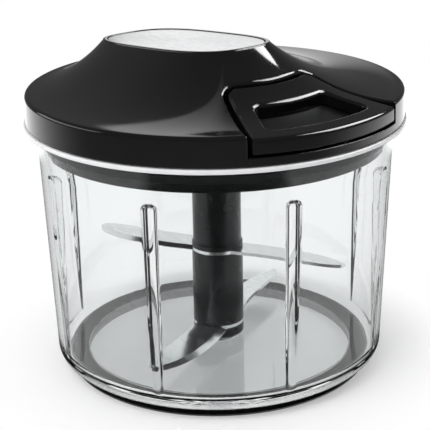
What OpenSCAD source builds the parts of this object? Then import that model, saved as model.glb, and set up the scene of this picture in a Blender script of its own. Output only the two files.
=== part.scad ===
// Pull-cord food chopper: a clear bowl, a tower of blades and a lid that holds a sprung cord reel.
// Lengths are millimetres, Z is up, the table is z = 0 and the handle pulls towards -Y.

/* [Bowl] */
// Height of the rim above the table
bowl_h = 96.5; // [88:0.5:120]
// Outer radius just under the rim flange
bowl_top_r = 66.5; // [65.5:0.1:68]
// Outer radius above the rounded bottom corner
bowl_low_r = 63; // [60:0.1:66]
// Thickness of the wall
bowl_wall = 2.4; // [1.8:0.1:3]
// Thickness of the floor
bowl_floor_t = 2.4; // [1.6:0.1:4]
// Radius of the rounded bottom corner
bowl_corner_r = 5; // [3:0.5:8]
// Outer radius of the rim flange
rim_r = 71; // [70:0.1:74]
// Thickness of the rim flange
rim_t = 1.7; // [1.2:0.1:3]
// Number of upright ribs inside the wall
rib_count = 8; // [4:1:12]
// Radius of a rib
rib_r = 2.6; // [1.8:0.1:3.5]
// How far a rib stands out of the wall at its top
rib_proud = 3.4; // [2:0.1:4.5]
// Distance from the rim down to the ribs' round tops
rib_drop = 15; // [12:0.5:40]
// Turn of the first rib from the handle's direction, in degrees
rib_turn = -12.6; // [-22:0.1:22]
// Height of the foot ring
foot_h = 3.4; // [2:0.1:6]
// Radius of the foot ring at the table
foot_low_r = 58; // [54:0.1:62]
// Radius of the foot ring under the bowl
foot_top_r = 59.7; // [55:0.1:63]
// Width of the foot ring's tread
foot_tread = 6.5; // [4:0.5:10]
// Radius of the pin that the blade tower turns on
pin_r = 3; // [2:0.1:4]
// How far the pin stands up inside the tower
pin_reach = 22; // [14:1:30]

/* [Blade tower] */
// Radius of the column
stem_r = 9.3; // [8.5:0.1:11]
// Radius of the hubs below the upper blade
hub_r = 9.8; // [9:0.1:12]
// Radius of the column's core that threads the blades
core_r = 6; // [5.5:0.1:7]
// Height of the lower blade above the bowl's floor
lower_blade_lift = 6; // [5:0.5:12]
// Height of the upper blade above the bowl's floor
upper_blade_lift = 36.5; // [28:0.5:45]
// Thickness of the blades
blade_t = 1.2; // [0.8:0.1:2]
// Width of a blade arm at its root
blade_w = 12.5; // [9:0.1:15]
// Reach of a blade from the axis
blade_reach = 52; // [40:0.5:54]
// Pitch of the arms, leading edge down, in degrees
blade_pitch = 16; // [0:1:20]
// Width of the ground bevel along the cutting edge
blade_bevel = 2.4; // [1:0.1:4]
// Direction of the upper blade's first arm, in degrees from +X
blade_turn = 124; // [0:1:180]

/* [Lid] */
// Radius of the lid's brim
lid_r = 70.2; // [69.5:0.1:73]
// Height of the lid's side wall
skirt_h = 10.7; // [8.7:0.1:16]
// Outward draft of the side wall at its foot
skirt_draft = 0.2; // [0:0.05:0.6]
// Radius of the rounded edge between side wall and dome
brim_edge_r = 1.3; // [0.4:0.1:1.5]
// Wall thickness of the lid's shell
lid_wall = 2.2; // [1.6:0.1:2.4]
// Height of the platform's middle above the brim
plat_rise = 14; // [13:0.5:20]
// Half length of the platform, along the pull
plat_a = 40.3; // [38:0.1:44]
// Half width of the platform
plat_b = 19.8; // [18:0.1:24]
// Platform's middle, measured towards the handle
plat_s = -19; // [-22:0.5:-16]
// Rise of the platform per millimetre towards the handle
plat_tilt = 0.09; // [0.05:0.005:0.11]
// Squareness of the platform's outline: 2 is an ellipse
plat_power = 3; // [2.4:0.1:4]
// Steepness of the flare from platform to brim
flare_power = 2.25; // [2:0.05:2.8]
// Width of the rim around the steel plate
plate_rim = 1.8; // [1:0.1:3]
// Thickness of the steel plate
plate_t = 1; // [0.6:0.1:1.6]
// How far the plate lies below the rim's top
plate_sink = 0.25; // [0:0.05:0.5]
// Depth of the plug below the bowl's rim
plug_depth = 10.5; // [10:0.5:14]
// Wall thickness of the plug
plug_wall = 2.2; // [1.8:0.1:3]
// Thickness of the lid's base
base_t = 2.4; // [1.8:0.1:3]
// Thickness of the flange that covers the bowl's rim
base_flange_t = 1.2; // [0.8:0.1:1.2]
// Height of the seal's section
seal_h = 3; // [2:0.1:4]
// Distance of the screws from the axis
screw_pcd_r = 50; // [46:0.5:54]
// Radius of the screws' shanks
screw_r = 1.7; // [1.2:0.1:2.2]

/* [Handle] */
// Radius of the handle's back edge about the axis
handle_back_r = 36.2; // [35:0.1:39]
// Half width that the lines of the handle's sides have at the axis
handle_axis_w = 5.3; // [4:0.1:7]
// Widening of each side per millimetre towards the front
handle_spread = 0.42; // [0.38:0.01:0.44]
// Radius of the back corners
handle_corner_r = 4; // [2.5:0.5:6]
// Gap between the handle and its recess
handle_gap = 1.8; // [1:0.1:2.2]
// Clearance under the handle
handle_lift = 0.4; // [0.3:0.1:0.6]
// Clearance between the handle's front face and the ledge below it
ledge_gap = 1.2; // [0.8:0.1:1.6]
// Radius of the finger opening's back edge about the axis
window_back_r = 46; // [45:0.1:48]
// Width of the bar in front of the finger opening
front_bar = 6.7; // [5:0.1:8]
// Width of the bars beside the finger opening
side_bar = 7; // [6:0.1:9]
// Radius of the finger opening's corners
window_corner_r = 3; // [1:0.5:4]
// Depth of the recess below the brim at its back
recess_back_drop = 0.8; // [0.6:0.1:1.2]
// Depth of the recess below the brim at its front
recess_front_drop = 7.7; // [7:0.1:7.8]
// Thickness of the recess's walls
recess_wall = 1.6; // [1.2:0.1:1.6]

/* [Cord and reel] */
// Diameter of the pull cord
cord_d = 1.6; // [1.2:0.1:1.8]
// Radius of the knot at the cord's end
knot_r = 1.5; // [1.2:0.1:1.6]
// Turns of cord on the reel
cord_turns = 2.6; // [1.5:0.1:2.7]
// Rise of the cord per turn
cord_pitch = 2.1; // [2:0.05:2.2]
// Radius of the reel's drum
drum_r = 22; // [20:0.1:22.6]
// Radius of the reel's flanges
reel_flange_r = 27; // [25:0.1:27.5]
// Thickness of the flanges
reel_flange_t = 1.5; // [1.2:0.1:1.6]
// Thickness of the drum's wall
drum_wall = 1.8; // [1.4:0.1:2.2]
// Number of teeth in the ratchet ring
ratchet_teeth = 20; // [16:2:24]
// Radius of the steel axle
axle_r = 3; // [2.5:0.1:3.5]
// Radius of the fixed arbor that the mainspring winds on
arbor_r = 5.5; // [5:0.1:6]
// Thickness of the mainspring's strip
spring_t = 0.5; // [0.3:0.05:0.6]
// Turns of the mainspring
spring_turns = 6; // [4:1:8]

/* [Clearances] */
// Gap between the plug and the bowl's wall
plug_gap = 1.5; // [1.2:0.1:2.5]
// Gap between the lid and the bowl's rim
seat_gap = 0.3; // [0.2:0.05:0.4]
// Radial clearance of shafts that turn
run_gap = 0.05; // [0.03:0.01:0.1]
// Radial clearance of pieces pressed together
press_gap = 0.02; // [0.01:0.01:0.04]
// Gap between pieces that turn past each other
turn_gap = 0.4; // [0.3:0.05:0.5]

/* [Hidden] */

$fn = 96;
eps = 0.01;
over = 1;

// Heights in the bowl
base_lift = 1.2;
under_z = foot_h + base_lift;
floor_z = under_z + bowl_floor_t;
boss_top_z = floor_z + 1.5;
boss_r = pin_r + 3.5;
pin_foot_z = under_z + 1.2;
pin_top_z = boss_top_z + pin_reach;
inner_corner_r = bowl_corner_r - 1;
rim_fillet = 1.2;
rim_edge = 0.5;
inner_top_r = bowl_top_r - bowl_wall;
inner_low_r = bowl_low_r - bowl_wall;
rib_top_z = bowl_h - rib_drop;
rib_axis_r = bowl_inner_r(rib_top_z) - rib_proud + rib_r;

// Heights in the blade tower
tower_z = boss_top_z + turn_gap;
lower_blade_z = floor_z + lower_blade_lift;
upper_blade_z = floor_z + upper_blade_lift;
core_foot_z = tower_z + 1.6;
base_under_z = bowl_h - plug_depth;
stem_top_z = base_under_z - 1.3;
socket_depth = 14;
hex_r = 5.1;
hex_gap = 0.2;
collar_h = 2.4;
arm_sink = 2.2;
arm_flat = 0.8;
arm_twist = 9.4;
arm_root_r = hub_r - arm_sink;
arm_flat_r = hub_r + arm_flat;
arm_twist_end_r = arm_flat_r + arm_twist;
arm_stations = 16;
arm_sweep = 7;
edge_land = 0.25;
arm_tip = 0.4;

// Heights in the lid
cover_z = bowl_h + seat_gap;
brim_z = cover_z + skirt_h;
plat_z = brim_z + plat_rise;
plat_angle = atan(plat_tilt);
plat_edge = 0.9;
plug_r = bowl_inner_r(base_under_z) - plug_gap;
base_top_z = base_under_z + base_t;
flange_r = lid_r - lid_wall - 0.2;
bush_boss_h = 7;
bush_boss_r = 11.5;
bush_r = 8;
bush_flange_r = 10.5;
bush_flange_t = 1;
bush_top_z = base_under_z + bush_boss_h;
shaft_r = 6;
seal_z = base_top_z + 1.2;
seal_depth = 1.2;
seal_r = bowl_inner_r(seal_z) - 0.3;
screw_boss_r = 4.6;
screw_seat_z = base_under_z + 2.2;
screw_boss_z = base_under_z + 4.4;
screw_head_r = 3.3;
screw_angles = [45, 135, 225, 315];

// Handle and recess
ledge_z = brim_z - recess_front_drop;
shelf_z = brim_z - recess_back_drop;
ramp_z = ledge_z + 2.2;
spread_angle = atan(handle_spread);
window_front_r = lid_r - front_bar;
knot_s = handle_back_r + 3;
knot_room_r = knot_r + 0.5;
shelf_end = 0.8;
ramp_r = [knot_s + knot_room_r + shelf_end, window_front_r - 1.5, window_front_r];
knot_cover_h = 0.8;
knot_gap = 0.05;
cord_z = shelf_z + handle_lift + knot_cover_h + knot_r + knot_gap;
knot_room_z = cord_z + knot_r + 0.1;
cord_hole_r = cord_d / 2 + 0.35;
cord_break = 0.3;

// Eyelet in the recess's back wall
wall_out_s = handle_back_r - handle_gap;
wall_in_s = wall_out_s - recess_wall;
eyelet_seat = 0.2;
eyelet_flange_t = 0.8;
eyelet_bore_r = cord_d / 2 + 0.35;
eyelet_r = eyelet_bore_r + 0.75;
eyelet_flange_r = cord_z - shelf_z - 0.15;

// Reel, drive and spring
carrier_z = bush_top_z + bush_flange_t + 0.1;
carrier_t = 3;
carrier_r = 16.5;
pawl_z = carrier_z + carrier_t + 0.1;
pawl_t = 3.5;
ratchet_z = carrier_z + carrier_t + 0.3;
ratchet_h = 4;
ratchet_tip_r = 18.6;
ratchet_root_r = 20.5;
ratchet_out_r = 22.3;
reel_z = ratchet_z + ratchet_h;
drum_z = reel_z + reel_flange_t;
drum_top_z = cord_z + cord_d / 2 + 1.1;
reel_top_z = drum_top_z + reel_flange_t;
chamber_r = drum_r - drum_wall;
cord_r = drum_r + cord_d / 2 + 0.3;
cord_guide_s = wall_in_s - 2.4;
cord_off_angle = -90 - acos(cord_r / cord_guide_s);
cord_sides = 8;
wind_sides = 6;
wind_rings = 24;
arbor_z = drum_z + 0.6;
axle_grip = 12;
axle_sink = 2.5;
axle_top_z = arbor_z + axle_grip;
axle_foot_z = bush_top_z - axle_sink;
spring_h = drum_top_z - drum_z - 1.8;
spring_z = drum_z + 0.9;
spring_in_r = arbor_r + 0.6;
spring_out_r = chamber_r - 0.6;
spring_tail = 1.1;
spring_steps = 24;
slot_w = spring_t + 0.5;
pawl_turns = [0, 180];
pawl_lead = 48;
pawl_pivot_r = 12.3;
pawl_ring_r = 2.7;
pawl_post_r = 1.3;
pawl_tip_gap = 0.5;
pawl_heel = 1.4;
pawl_half_w = 2.2;

// Finishes
gloss_black = [0.11, 0.11, 0.115];
satin_black = [0.15, 0.15, 0.155];
clear_plastic = [0.86, 0.9, 0.92, 0.35];
bright_steel = [0.75, 0.76, 0.77];
brushed_steel = [0.68, 0.68, 0.69];
white_nylon = [0.9, 0.89, 0.85];
brass = [0.78, 0.64, 0.34];
soft_black = [0.07, 0.07, 0.075];
cord_white = [0.88, 0.88, 0.86];

// Inner radius of the bowl's tapered wall at height z
function bowl_inner_r(z) =
    inner_low_r + (inner_top_r - inner_low_r) * (z - floor_z - inner_corner_r)
    / (bowl_h - floor_z - inner_corner_r);

// Points of an arc about c, from angle a0 to a1
function arc(c, r, a0, a1, n = 6) =
    [for (i = [0:n]) let (a = a0 + (a1 - a0) * i / n) c + r * [cos(a), sin(a)]];

function polar(r, a) = [r * cos(a), r * sin(a)];

function unit(v) = v / norm(v);

function smooth(t) = let (u = min(1, max(0, t))) u * u * (3 - 2 * u);

function signed_power(v, p) = sign(v) * pow(abs(v), p);

// A point of the platform's outline, with half axes a and b, as [x, distance towards the handle]
function platform_point(t, a, b) =
    [b * signed_power(sin(t), 2 / plat_power), plat_s + a * signed_power(cos(t), 2 / plat_power)];

function platform_z(s) = plat_z + plat_tilt * (s - plat_s);

// One ring of the dome: w runs from 0 at the platform to 1 at the brim
function dome_ring(w, n, inset, drop) = [
    for (i = [0:n - 1])
        let (
            t = 360 * i / n,
            p = platform_point(t, plat_a - inset, plat_b - inset),
            r = lid_r - brim_edge_r - inset,
            q = p + (r * [sin(t), cos(t)] - p) * w,
            rise = platform_z(p[1]) - brim_z
        )
        [q[0], -q[1], brim_z - drop + rise * pow(1 - w, flare_power)]
];

// A level ring of radius r at height z, point for point beside the dome's rings
function round_ring(r, z, n) =
    [for (i = [0:n - 1]) let (t = 360 * i / n) [r * sin(t), -r * cos(t), z]];

// Rings joined into a closed skin, from the top ring to the bottom ring
module skin(rings) {
    n = len(rings[0]);
    m = len(rings);
    sides = [
        for (i = [0:m - 2], j = [0:n - 1])
            let (a = i * n + j, b = i * n + (j + 1) % n)
            each [[a, b, b + n], [a, b + n, a + n]]
    ];
    top = [[for (j = [n - 1:-1:0]) j]];
    bottom = [[for (j = [0:n - 1]) (m - 1) * n + j]];
    polyhedron([for (ring = rings) each ring], concat(top, sides, bottom), convexity = 8);
}

// The outer form of the lid, from the platform's rounded edge to the foot of the side wall
module dome_form() {
    n = 72;
    edge = plat_edge;
    rim_rings = [for (a = [90:-45:0])
        let (inset = edge - edge * cos(a), drop = edge - edge * sin(a))
        [for (p = dome_ring(0, n, inset, 0)) p - [0, 0, drop]]];
    flare_rings = [for (i = [1:9]) let (w = pow(i / 9, 1.4)) dome_ring(w, n, 0, edge * pow(1 - w, 3))];
    edge_rings = [for (a = [60:-30:0])
        round_ring(lid_r - brim_edge_r * (1 - cos(a)), brim_z - brim_edge_r * (1 - sin(a)), n)];
    foot_ring_points = round_ring(lid_r + skirt_draft, cover_z, n);
    skin(concat(rim_rings, flare_rings, edge_rings, [foot_ring_points]));
}

// The room inside the lid's shell, open below
module dome_room() {
    n = 40;
    roof = plate_t + plate_sink + lid_wall;
    inner_r = lid_r - lid_wall;
    flare_rings = [for (i = [0:6])
        let (w = pow(i / 6, 1.4), drop = lid_wall + (roof - lid_wall) * pow(1 - w, 4))
        dome_ring(w, n, lid_wall, drop)];
    skin(concat(
        flare_rings,
        [round_ring(inner_r, brim_z - lid_wall - brim_edge_r, n), round_ring(inner_r, cover_z - over, n)]
    ));
}

// The steel plate's outline on the tilted platform, grown by g and lifted by z
module on_platform(z) {
    translate([0, -plat_s, plat_z]) rotate([-plat_angle, 0, 0]) translate([0, 0, z]) children();
}

module plate_outline(g) {
    n = 72;
    polygon([for (i = [0:n - 1])
        let (p = platform_point(360 * i / n, plat_a - plate_rim + g, plat_b - plate_rim + g))
        [p[0], plat_s - p[1]]]);
}

// Half width of the handle at distance s from the axis, grown by g
function handle_w(s, g) = handle_axis_w + handle_spread * s + g / cos(spread_angle);

// Centre of a back corner's fillet of radius r, which touches the round back edge and the side
function corner_centre(r, g) =
    let (
        k = handle_spread,
        a = handle_w(0, g) - r / cos(spread_angle),
        d = handle_back_r - g + r,
        s = (sqrt(a * a * k * k - (1 + k * k) * (a * a - d * d)) - a * k) / (1 + k * k)
    )
    [a + k * s, s];

// Plan of the handle, grown by g: a round back edge, filleted corners and sides that spread
module handle_plan(g) {
    front_s = lid_r + 12;
    fillet_r = handle_corner_r + g;
    centre = corner_centre(fillet_r, g);
    back_angle = atan2(centre[1], centre[0]);
    right = concat(
        arc([0, 0], handle_back_r - g, 90, back_angle),
        arc(centre, fillet_r, back_angle - 180, -spread_angle),
        [[handle_w(front_s, g), front_s]]
    );
    left = [for (i = [len(right) - 1:-1:1]) [-right[i][0], right[i][1]]];
    polygon([for (p = concat(right, left)) [p[0], -p[1]]]);
}

// Everything below the recess's floor: a shelf and a ramp raised by z, and a level ledge at the front
// raised by front_z
module below_recess(z, front_z) {
    far_r = lid_r + 20;
    rotate_extrude() polygon([
        [0, base_under_z],
        [far_r, base_under_z],
        [far_r, ledge_z + front_z],
        [ramp_r[2], ledge_z + front_z],
        [ramp_r[1], ramp_z + z],
        [ramp_r[0], shelf_z + z],
        [0, shelf_z + z]
    ]);
}

// The room that the handle parks in, grown by g all round
module recess_room(g) {
    top_z = platform_z(plat_a) + 10;
    difference() {
        translate([0, 0, base_under_z]) linear_extrude(top_z - base_under_z) handle_plan(handle_gap + g);
        below_recess(-g, -g);
    }
}

module finger_opening() {
    offset(window_corner_r) offset(delta = -window_corner_r) difference() {
        intersection() {
            circle(window_front_r);
            polygon([
                [-handle_w(lid_r, -side_bar), -lid_r],
                [-handle_w(handle_back_r, -side_bar), -handle_back_r],
                [handle_w(handle_back_r, -side_bar), -handle_back_r],
                [handle_w(lid_r, -side_bar), -lid_r]
            ]);
        }
        circle(window_back_r);
    }
}

// A tube of radius r with n sides along a path
module tube_along(path, r, n) {
    last = len(path) - 1;
    rings = [
        for (i = [0:last])
            let (
                along = unit(path[min(i + 1, last)] - path[max(i - 1, 0)]),
                across = unit(cross([0, 0, 1], along)),
                up = cross(along, across)
            )
            for (k = [0:n - 1]) let (a = 360 * k / n) path[i] + r * (cos(a) * across + sin(a) * up)
    ];
    sides = [
        for (i = [0:last - 1], k = [0:n - 1])
            let (a = i * n + k, b = i * n + (k + 1) % n)
            each [[a, a + n, b + n], [a, b + n, b]]
    ];
    start = [[for (k = [0:n - 1]) k]];
    end = [[for (k = [n - 1:-1:0]) last * n + k]];
    polyhedron(rings, concat(start, sides, end), convexity = 10);
}

// A cylinder whose axis runs along the pull, from distance s0 to s1
module along_pull(r, s0, s1, z) {
    translate([0, -s0, z]) rotate([90, 0, 0]) cylinder(r = r, h = s1 - s0);
}

// The bowl's outer form as a solid of revolution
bowl_outside = concat(
    [[0, foot_h]],
    arc([bowl_low_r - bowl_corner_r, foot_h + bowl_corner_r], bowl_corner_r, -90, 0),
    arc([bowl_top_r + rim_fillet, bowl_h - rim_t - rim_fillet], rim_fillet, 180, 90, 4),
    arc([rim_r - rim_edge, bowl_h - rim_t + rim_edge], rim_edge, -90, 0, 3),
    arc([rim_r - rim_edge, bowl_h - rim_edge], rim_edge, 0, 90, 3)
);

bowl_inside = concat(
    arc([inner_top_r + rim_edge, bowl_h - rim_edge], rim_edge, 90, 180, 3),
    arc([inner_low_r - inner_corner_r, floor_z + inner_corner_r], inner_corner_r, 0, -90),
    [[0, floor_z]]
);

// The hollow under the base, inside the foot ring's seat
base_hollow_r = foot_low_r - foot_tread;

// A rib stands upright in the tapered wall, so it narrows downwards
module bowl_rib() {
    half_wall = bowl_wall / 2;
    intersection() {
        translate([rib_axis_r, 0, 0]) union() {
            translate([0, 0, floor_z - over]) cylinder(r = rib_r, h = rib_top_z - rib_r - floor_z + over);
            translate([0, 0, rib_top_z - rib_r]) sphere(r = rib_r);
        }
        translate([0, 0, floor_z - over]) cylinder(
            r1 = bowl_inner_r(floor_z - over) + half_wall,
            r2 = bowl_inner_r(bowl_h) + half_wall,
            h = bowl_h - floor_z + over
        );
    }
}

module bowl() {
    color(clear_plastic) difference() {
        union() {
            rotate_extrude() polygon(concat(bowl_outside, bowl_inside));
            for (i = [0:rib_count - 1]) rotate(-90 + rib_turn + 360 * i / rib_count) bowl_rib();
            translate([0, 0, under_z]) cylinder(r = boss_r, h = boss_top_z - under_z);
        }
        translate([0, 0, foot_h - over]) cylinder(r = base_hollow_r, h = base_lift + over);
        translate([0, 0, pin_foot_z]) cylinder(r = pin_r + press_gap, h = boss_top_z);
    }
}

module bowl_pin() {
    tip = 1;
    color(bright_steel) rotate_extrude() polygon([
        [0, pin_foot_z],
        [pin_r, pin_foot_z],
        [pin_r, pin_top_z - tip],
        [pin_r - tip, pin_top_z],
        [0, pin_top_z]
    ]);
}

module foot_ring() {
    inner_r = base_hollow_r;
    color(soft_black) rotate_extrude() polygon([
        [inner_r + 0.6, 0],
        [foot_low_r - 0.6, 0],
        [foot_low_r, 0.6],
        [foot_top_r, foot_h],
        [inner_r, foot_h],
        [inner_r, 0.6]
    ]);
}

module at_screws() {
    for (a = screw_angles) rotate(a) translate([screw_pcd_r, 0, 0]) children();
}

// Shell of the lid: dome, handle recess, plate pocket, screw bosses and the spring arbor
module lid_cover() {
    boss_h = brim_z - screw_boss_z;
    boss_room_z = cover_z - 2 * over;
    boss_neck_r = screw_boss_r - 0.4;
    arbor_top_z = platform_z(0) - plate_t - plate_sink - 0.5;
    color(gloss_black) difference() {
        union() {
            difference() {
                dome_form();
                difference() {
                    dome_room();
                    recess_room(recess_wall);
                    at_screws() translate([0, 0, boss_room_z])
                        cylinder(r = boss_neck_r, h = plat_z - boss_room_z);
                }
            }
            at_screws() translate([0, 0, screw_boss_z])
                cylinder(r = screw_boss_r, h = ledge_z - screw_boss_z);
            translate([0, 0, arbor_z]) cylinder(r = arbor_r, h = arbor_top_z - arbor_z);
        }
        recess_room(0);
        on_platform(-plate_t - plate_sink) linear_extrude(plate_t + plate_sink + over) plate_outline(0.15);
        at_screws() translate([0, 0, screw_boss_z - over])
            cylinder(r = screw_r + press_gap, h = boss_h - 1 + over);
        translate([0, 0, arbor_z - over]) cylinder(r = axle_r + press_gap, h = axle_top_z - arbor_z + over);
        translate([0, -slot_w / 2, arbor_z - over]) cube([arbor_r + over, slot_w, spring_h + 2 * over]);
        along_pull(eyelet_r + press_gap, wall_in_s - over, wall_out_s + over, cord_z);
    }
}

module top_plate() {
    color(brushed_steel) on_platform(-plate_t - plate_sink) linear_extrude(plate_t) plate_outline(0);
}

// Plug that closes the lid: floor, plug wall with a seal groove, rim flange and screw seats
module lid_base() {
    inner_r = plug_r - plug_wall;
    color(satin_black) difference() {
        union() {
            rotate_extrude() polygon([
                [bush_r - over, base_under_z],
                [plug_r - 0.6, base_under_z],
                [plug_r, base_under_z + 0.6],
                [plug_r, seal_z - press_gap],
                [plug_r - seal_depth, seal_z - press_gap],
                [plug_r - seal_depth, seal_z + seal_h + press_gap],
                [plug_r, seal_z + seal_h + press_gap],
                [plug_r, cover_z],
                [flange_r, cover_z],
                [flange_r, cover_z + base_flange_t],
                [inner_r, cover_z + base_flange_t],
                [inner_r, base_top_z],
                [bush_boss_r, base_top_z],
                [bush_boss_r, bush_top_z],
                [bush_r - over, bush_top_z]
            ]);
            at_screws() translate([0, 0, base_under_z])
                cylinder(r = screw_boss_r, h = screw_boss_z - base_under_z);
        }
        translate([0, 0, base_under_z - over]) cylinder(r = bush_r + press_gap, h = bush_boss_h + 2 * over);
        at_screws() translate([0, 0, base_under_z - over]) union() {
            cylinder(r = screw_r + 0.2, h = screw_boss_z);
            cylinder(r = screw_head_r + 0.3, h = screw_seat_z - base_under_z + over);
        }
    }
}

// Soft ring in the plug's groove, with a round lip towards the bowl
module lid_seal() {
    lip_r = 0.6;
    color(soft_black) rotate_extrude() polygon(concat(
        [[plug_r - seal_depth + press_gap, seal_z]],
        arc([seal_r - lip_r, seal_z + lip_r], lip_r, -90, 0, 4),
        arc([seal_r - lip_r, seal_z + seal_h - lip_r], lip_r, 0, 90, 4),
        [[plug_r - seal_depth + press_gap, seal_z + seal_h]]
    ));
}

module lid_screws() {
    length = 11;
    head_h = 1.9;
    drive_w = 0.9;
    drive_l = 4;
    drive_depth = 1;
    color(bright_steel) at_screws() difference() {
        union() {
            translate([0, 0, screw_seat_z - head_h]) cylinder(r = screw_r, h = head_h + length);
            translate([0, 0, screw_seat_z - head_h]) cylinder(r = screw_head_r, h = head_h);
        }
        for (a = [0, 90]) rotate(a) translate([-drive_l / 2, -drive_w / 2, screw_seat_z - head_h - over])
            cube([drive_l, drive_w, over + drive_depth]);
    }
}

module reel_axle() {
    color(bright_steel) translate([0, 0, axle_foot_z]) cylinder(r = axle_r, h = axle_top_z - axle_foot_z);
}

module drive_bush() {
    color(brass) difference() {
        union() {
            translate([0, 0, base_under_z]) cylinder(r = bush_r, h = bush_boss_h + bush_flange_t);
            translate([0, 0, bush_top_z]) cylinder(r = bush_flange_r, h = bush_flange_t);
        }
        translate([0, 0, base_under_z - over]) cylinder(r = shaft_r + run_gap, h = bush_boss_h + 3 * over);
    }
}

// Ferrule through the recess's curved back wall, flared towards the reel
module cord_eyelet() {
    flare_r = eyelet_bore_r + 0.8;
    neck_end = eyelet_flange_t + eyelet_seat + recess_wall;
    length = neck_end + eyelet_flange_t;
    inner_s = wall_in_s - eyelet_seat - eyelet_flange_t;
    color(brass) translate([0, -inner_s, cord_z]) rotate([90, 0, 0]) rotate_extrude() polygon([
        [flare_r, 0],
        [eyelet_flange_r, 0],
        [eyelet_flange_r, eyelet_flange_t],
        [eyelet_r, eyelet_flange_t],
        [eyelet_r, neck_end],
        [eyelet_flange_r, neck_end],
        [eyelet_flange_r, length],
        [eyelet_bore_r, length],
        [eyelet_bore_r, eyelet_flange_t + 0.4]
    ]);
}

// The cord from the reel to the eyelet: a straight run, a bend and a straight end
module cord_feed() {
    corner = [0, -cord_guide_s, cord_z];
    back = unit([cord_r * cos(cord_off_angle), cord_r * sin(cord_off_angle), cord_z] - corner);
    start = corner + (sqrt(pow(cord_guide_s, 2) - pow(cord_r, 2)) - cord_break) * back;
    out = [0, -1, 0];
    bend = 2.2;
    bend_points = [for (i = [0:4]) let (u = i / 4)
        corner + bend * (back * pow(1 - u, 2) + out * pow(u, 2))];
    end = [0, -wall_out_s - eyelet_flange_t, cord_z];
    color(cord_white) tube_along(concat([start], bend_points, [end]), cord_d / 2, cord_sides);
}

// Handle: the dome's own surface over the recess, with a finger opening and a pocket for the knot
module pull_handle() {
    color(gloss_black) difference() {
        intersection() {
            dome_form();
            translate([0, 0, base_under_z]) linear_extrude(plat_z) handle_plan(0);
        }
        below_recess(handle_lift, ledge_gap);
        translate([0, 0, base_under_z]) linear_extrude(plat_z) finger_opening();
        along_pull(cord_hole_r, handle_back_r - over, knot_s, cord_z);
        translate([0, -knot_s, base_under_z]) cylinder(r = knot_room_r, h = knot_room_z - base_under_z);
    }
}

module cord_lead() {
    start_s = wall_out_s + eyelet_flange_t + cord_break;
    color(cord_white) along_pull(cord_d / 2, start_s, knot_s - knot_r, cord_z);
}

module cord_knot() {
    color(cord_white) translate([0, -knot_s, cord_z]) sphere(r = knot_r);
}

module knot_cover() {
    color(gloss_black) translate([0, -knot_s, shelf_z + handle_lift])
        cylinder(r = knot_room_r - press_gap, h = knot_cover_h);
}

// Ratchet ring: each tooth has a radial face that pushes a pawl and a ramp that slips past it
module ratchet_outline() {
    step = 360 / ratchet_teeth;
    difference() {
        circle(ratchet_out_r);
        polygon([for (i = [0:ratchet_teeth - 1])
            each [polar(ratchet_tip_r, i * step), polar(ratchet_root_r, i * step)]]);
    }
}

// Reel: ratchet ring below, drum with two flanges, and the spring chamber inside the drum
module cord_reel() {
    hub_r_here = axle_r + 2.3;
    hub_foot_z = ratchet_z + 0.2;
    color(white_nylon) difference() {
        union() {
            translate([0, 0, ratchet_z]) linear_extrude(ratchet_h + eps) ratchet_outline();
            translate([0, 0, hub_foot_z]) cylinder(r = hub_r_here, h = reel_z - hub_foot_z + eps);
            rotate_extrude() polygon([
                [0, reel_z],
                [reel_flange_r, reel_z],
                [reel_flange_r, drum_z],
                [drum_r, drum_z],
                [drum_r, drum_top_z],
                [reel_flange_r, drum_top_z],
                [reel_flange_r, reel_top_z],
                [chamber_r, reel_top_z],
                [chamber_r, drum_z],
                [0, drum_z]
            ]);
        }
        translate([0, 0, ratchet_z - over]) cylinder(r = axle_r + run_gap, h = reel_top_z - ratchet_z);
        rotate(spring_turns * 360) translate([chamber_r - over, -slot_w / 2, drum_z + 0.4])
            cube([over + spring_tail, slot_w, spring_h + 1]);
    }
}

module spring_cover() {
    thickness = 1.2;
    color(white_nylon) translate([0, 0, drum_top_z]) difference() {
        cylinder(r = chamber_r - press_gap, h = thickness);
        translate([0, 0, -over]) cylinder(r = arbor_r + turn_gap, h = thickness + 2 * over);
    }
}

// Flat spiral spring, hooked into the arbor's slot and into the drum's wall
module mainspring() {
    steps = spring_turns * spring_steps;
    radii = [for (i = [0:steps]) spring_in_r + (spring_out_r - spring_in_r) * i / steps];
    angles = [for (i = [0:steps]) 360 * i / spring_steps];
    outer = [for (i = [0:steps]) polar(radii[i] + spring_t / 2, angles[i])];
    inner = [for (i = [steps:-1:0]) polar(radii[i] - spring_t / 2, angles[i])];
    color(bright_steel) translate([0, 0, spring_z]) linear_extrude(spring_h) union() {
        polygon(concat(outer, inner));
        translate([arbor_r - spring_tail, -spring_t / 2])
            square([spring_in_r - arbor_r + spring_tail, spring_t]);
        translate([spring_out_r, -spring_t / 2])
            square([chamber_r - spring_out_r + spring_tail - 0.3, spring_t]);
    }
}

// The cord's route on the drum, from its inner end up to the place where it leaves
wind_steps = round(cord_turns * wind_rings);
wind_path = [for (i = [wind_steps:-1:0])
    let (a = cord_off_angle - 360 * i / wind_rings)
    [cord_r * cos(a), cord_r * sin(a), cord_z - cord_pitch * i / wind_rings]];

// Least gap between neighbouring turns of the cord
wind_gap = min([
    for (i = [0:wind_steps], j = [0:1:i - wind_rings / 2]) norm(wind_path[i] - wind_path[j])
]) - cord_d;
echo(wind_gap = wind_gap);

module wound_cord() {
    color(cord_white) tube_along(wind_path, cord_d / 2, wind_sides);
}

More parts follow.
